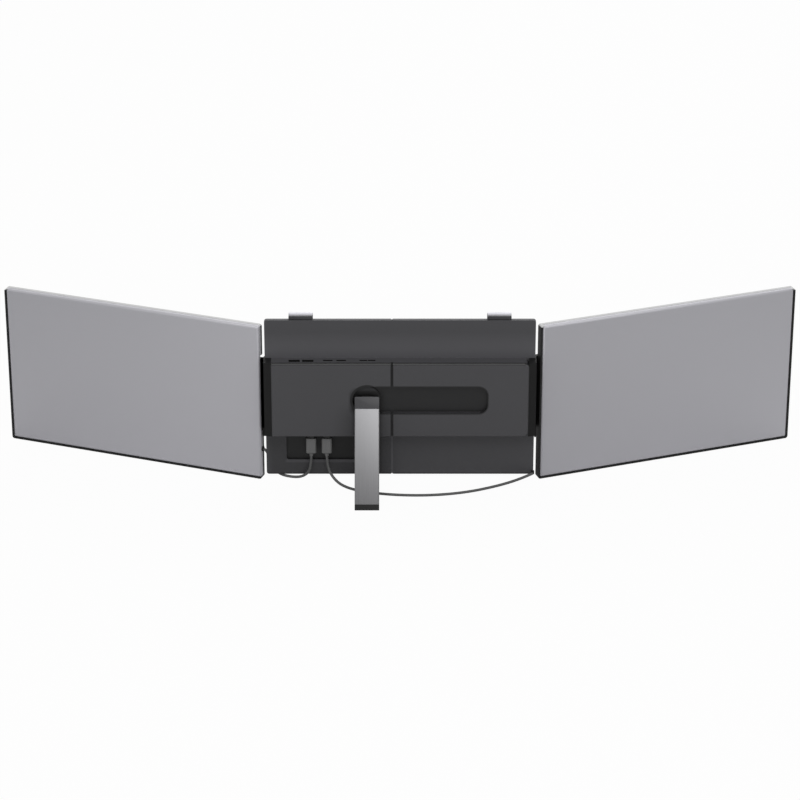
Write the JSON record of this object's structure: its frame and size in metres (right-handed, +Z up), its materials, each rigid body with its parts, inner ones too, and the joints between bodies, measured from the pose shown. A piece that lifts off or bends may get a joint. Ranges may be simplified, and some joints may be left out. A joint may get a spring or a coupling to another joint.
{
  "type": "laptop screen extender",
  "caption": "Telescoping lid bracket with two fold-out side monitors on hinges, a swivelling stand leg, hook clips and USB-C cables.",
  "frame": {"origin": "middle of the footprint, on the surface that it stands on", "axes": "+Z up, +X towards the right-hand monitor seen from behind, +Y towards the user, the side the screens face"},
  "size_m": [0.9399, 0.2018, 0.2096],
  "materials": {
    "bracket_plastic": "fine satin texture, dark grey",
    "monitor_metal": "satin anodised, cool grey",
    "black_plastic": "satin black",
    "leg_aluminium": "brushed, anodised silver",
    "soft_rubber": "matte black",
    "steel": "bare steel",
    "circuit_board": "solder mask",
    "screen_glass": "anti-glare",
    "display": "dark, off",
    "cable_jacket": "matte grey jacket",
    "plug_plastic": "grey overmould"
  },
  "bodies": {
    "left_half": {"left_back_cover": "bracket_plastic", "left_front_cover": "bracket_plastic", "left_front_pads": "soft_rubber", "left_cover_screws": "steel", "left_hinge_housing": "black_plastic", "left_hinge_arm": "steel", "left_hinge_pin": "steel", "guide_rods": "steel", "guide_rod_mounts": "black_plastic", "slide_strips": "steel", "slide_tongue": "steel", "port_board": "circuit_board", "power_board": "circuit_board", "usb_a_ports": "steel", "hdmi_ports": "steel", "usb_c_ports": "steel", "cable_sockets": "steel", "left_cable_plug": "plug_plastic", "right_cable_plug": "plug_plastic", "left_cable": "cable_jacket", "right_cable": "cable_jacket"},
    "right_half": {"right_back_cover": "bracket_plastic", "right_front_cover": "bracket_plastic", "right_front_pads": "soft_rubber", "right_cover_screws": "steel", "right_hinge_housing": "black_plastic", "right_hinge_arm": "steel", "right_hinge_pin": "steel", "guide_bushes": "black_plastic", "right_cable_boot": "black_plastic"},
    "left_clip_slider": {"left_clip": "bracket_plastic", "left_clip_pad": "soft_rubber"},
    "right_clip_slider": {"right_clip": "bracket_plastic", "right_clip_pad": "soft_rubber"},
    "turntable": {"stand_turntable": "black_plastic", "stand_retainer": "steel"},
    "leg": {"stand_cap": "bracket_plastic", "stand_leg": "leg_aluminium", "stand_foot": "soft_rubber", "stand_hinge_pin": "steel"},
    "left_monitor": {"left_monitor_back_cover": "monitor_metal", "left_monitor_frame": "black_plastic", "left_monitor_bezel": "black_plastic", "left_monitor_glass": "screen_glass", "left_monitor_display_panel": "display", "left_monitor_driver_board": "circuit_board", "left_monitor_hinge_leaf": "steel", "left_cable_grommet": "soft_rubber"},
    "right_monitor": {"right_monitor_back_cover": "monitor_metal", "right_monitor_frame": "black_plastic", "right_monitor_bezel": "black_plastic", "right_monitor_glass": "screen_glass", "right_monitor_display_panel": "display", "right_monitor_driver_board": "circuit_board", "right_monitor_hinge_leaf": "steel"},
    "left_button": {"left_monitor_button": "black_plastic"},
    "right_button": {"right_monitor_button": "black_plastic"}
  },
  "joints": [
    {"name": "bracket_slide", "type": "slide", "parent": "left_half", "child": "right_half", "axis": [1, 0, 0], "range_m": [0, 0.06], "deforming": ["right_cable"]},
    {"name": "left_clip_slide", "type": "slide", "parent": "left_half", "child": "left_clip_slider", "axis": [0, 0, 1], "range_m": [0, 0.02]},
    {"name": "right_clip_slide", "type": "slide", "parent": "right_half", "child": "right_clip_slider", "axis": [0, 0, 1], "range_m": [0, 0.02]},
    {"name": "stand_swivel", "type": "hinge", "parent": "left_half", "child": "turntable", "pos_m": [-0.0384, -0.032, 0.1105], "axis": [0, 1, 0], "range_deg": [-90, 0]},
    {"name": "stand_tilt", "type": "hinge", "parent": "turntable", "child": "leg", "pos_m": [-0.0384, -0.0345, 0.112], "axis": [-1, 0, 0], "range_deg": [-18.6, 35]},
    {"name": "left_monitor_hinge", "type": "hinge", "parent": "left_half", "child": "left_monitor", "pos_m": [-0.1656, -0.01, 0.1104], "axis": [0, 0, 1], "range_deg": [-160, 20], "deforming": ["left_cable"]},
    {"name": "right_monitor_hinge", "type": "hinge", "parent": "right_half", "child": "right_monitor", "pos_m": [0.1637, -0.0046, 0.1104], "axis": [0, 0, -1], "range_deg": [-160, 20]},
    {"name": "left_button_press", "type": "slide", "parent": "left_monitor", "child": "left_button", "axis": [0.9397, -0.342, 0], "range_m": [0, 0.0005], "stiffness_N_per_m": 600},
    {"name": "right_button_press", "type": "slide", "parent": "right_monitor", "child": "right_button", "axis": [-0.9397, -0.342, 0], "range_m": [0, 0.0005], "stiffness_N_per_m": 600}
  ]
}
